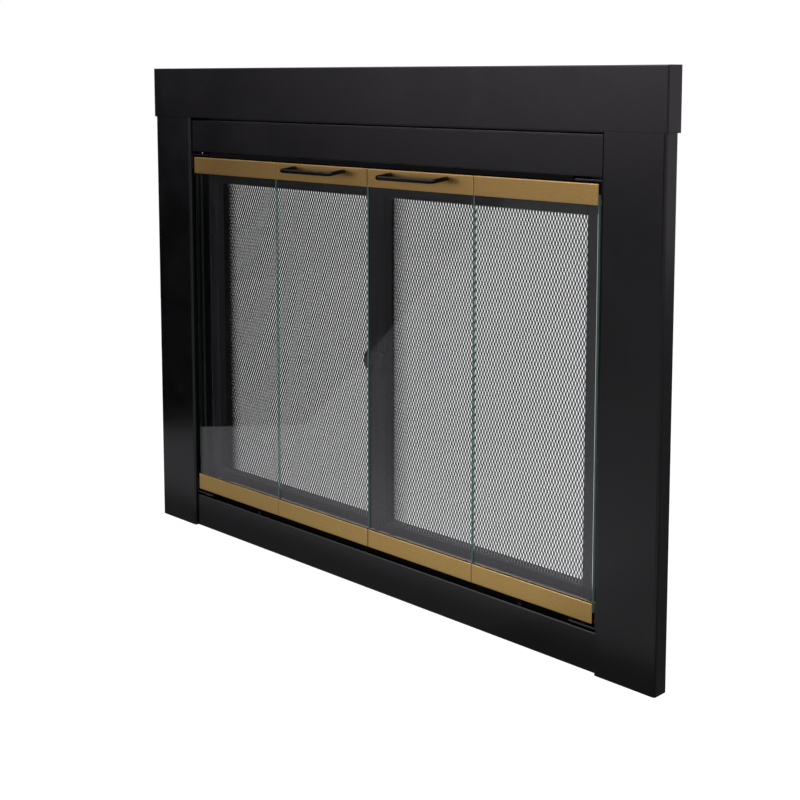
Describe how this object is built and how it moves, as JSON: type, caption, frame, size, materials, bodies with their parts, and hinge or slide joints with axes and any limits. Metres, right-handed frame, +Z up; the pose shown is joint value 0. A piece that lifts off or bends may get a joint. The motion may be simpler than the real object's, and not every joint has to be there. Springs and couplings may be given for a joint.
{
  "type": "fireplace glass door set",
  "caption": "Framed fireplace door set with a hood, folding glass panels in gold trim bars and hinged black mesh gates behind the glass.",
  "frame": {"origin": "on the hearth, in the middle of the width, in the plane of the wall that the frame lies on", "axes": "+X to the right of someone facing the doors, +Y back into the fireplace, +Z up"},
  "size_m": [1.1176, 0.1723, 0.8382],
  "materials": {
    "black_coat": "satin black powder coat",
    "black_mesh": "matt black coat on expanded steel",
    "gold_trim": "satin gold, finely brushed along its length",
    "clear_glass": "clear toughened glass with a green edge",
    "seal": "black fibre packing",
    "zinc_steel": "dull zinc plate"
  },
  "bodies": {
    "frame": {"hood": "black_coat", "left_jamb": "black_coat", "right_jamb": "black_coat", "lintel_panel": "black_coat", "bottom_rail": "black_coat", "guide_track": "black_coat", "left_upper_pivot_bracket": "black_coat", "right_upper_pivot_bracket": "black_coat", "left_lower_pivot_bracket": "black_coat", "right_lower_pivot_bracket": "black_coat", "frame_screws": "zinc_steel", "left_lintel_clamp": "zinc_steel", "right_lintel_clamp": "zinc_steel", "lintel_clamp_bolts": "zinc_steel", "left_floor_bracket": "zinc_steel", "right_floor_bracket": "zinc_steel"},
    "left_outer_panel": {"left_outer_glass": "clear_glass", "left_outer_top_bar": "gold_trim", "left_outer_bottom_bar": "gold_trim", "left_outer_gaskets": "seal", "left_outer_pivot_pins": "black_coat", "left_outer_hinge_leaves": "zinc_steel", "left_outer_hinge_pins": "zinc_steel"},
    "left_inner_panel": {"left_inner_glass": "clear_glass", "left_inner_top_bar": "gold_trim", "left_inner_bottom_bar": "gold_trim", "left_inner_gaskets": "seal", "left_inner_guide_pin": "black_coat", "left_inner_hinge_leaves": "zinc_steel", "left_inner_handle": "black_coat", "left_inner_handle_screws": "zinc_steel"},
    "left_gate": {"left_gate_hinge_stile": "black_coat", "left_gate_meeting_stile": "black_coat", "left_gate_top_rail": "black_coat", "left_gate_bottom_rail": "black_coat", "left_gate_mesh": "black_mesh", "left_gate_pivots": "zinc_steel", "left_gate_pull": "black_coat"},
    "right_outer_panel": {"right_outer_glass": "clear_glass", "right_outer_top_bar": "gold_trim", "right_outer_bottom_bar": "gold_trim", "right_outer_gaskets": "seal", "right_outer_pivot_pins": "black_coat", "right_outer_hinge_leaves": "zinc_steel", "right_outer_hinge_pins": "zinc_steel"},
    "right_inner_panel": {"right_inner_glass": "clear_glass", "right_inner_top_bar": "gold_trim", "right_inner_bottom_bar": "gold_trim", "right_inner_gaskets": "seal", "right_inner_guide_pin": "black_coat", "right_inner_hinge_leaves": "zinc_steel", "right_inner_handle": "black_coat", "right_inner_handle_screws": "zinc_steel"},
    "right_gate": {"right_gate_hinge_stile": "black_coat", "right_gate_meeting_stile": "black_coat", "right_gate_top_rail": "black_coat", "right_gate_bottom_rail": "black_coat", "right_gate_mesh": "black_mesh", "right_gate_pivots": "zinc_steel", "right_gate_pull": "black_coat"}
  },
  "joints": [
    {"name": "left_pivot", "type": "hinge", "parent": "frame", "child": "left_outer_panel", "pos_m": [-0.431, -0.0192, 0.3751], "axis": [0, 0, -1], "range_deg": [0, 80]},
    {"name": "left_fold", "type": "hinge", "parent": "left_outer_panel", "child": "left_inner_panel", "pos_m": [-0.2236, -0.0109, 0.3751], "axis": [0, 0, 1], "range_deg": [0, 160]},
    {"name": "left_gate_swing", "type": "hinge", "parent": "frame", "child": "left_gate", "pos_m": [-0.4205, 0.0097, 0.372], "axis": [0, 0, 1], "range_deg": [0, 90]},
    {"name": "right_pivot", "type": "hinge", "parent": "frame", "child": "right_outer_panel", "pos_m": [0.431, -0.0192, 0.3751], "axis": [0, 0, 1], "range_deg": [0, 80]},
    {"name": "right_fold", "type": "hinge", "parent": "right_outer_panel", "child": "right_inner_panel", "pos_m": [0.2236, -0.0109, 0.3751], "axis": [0, 0, -1], "range_deg": [0, 160]},
    {"name": "right_gate_swing", "type": "hinge", "parent": "frame", "child": "right_gate", "pos_m": [0.4205, 0.0097, 0.372], "axis": [0, 0, -1], "range_deg": [0, 90]}
  ],
  "couplings": [
    {"joint": "left_fold", "follows": "left_pivot", "ratio": 2},
    {"joint": "right_fold", "follows": "right_pivot", "ratio": 2}
  ]
}
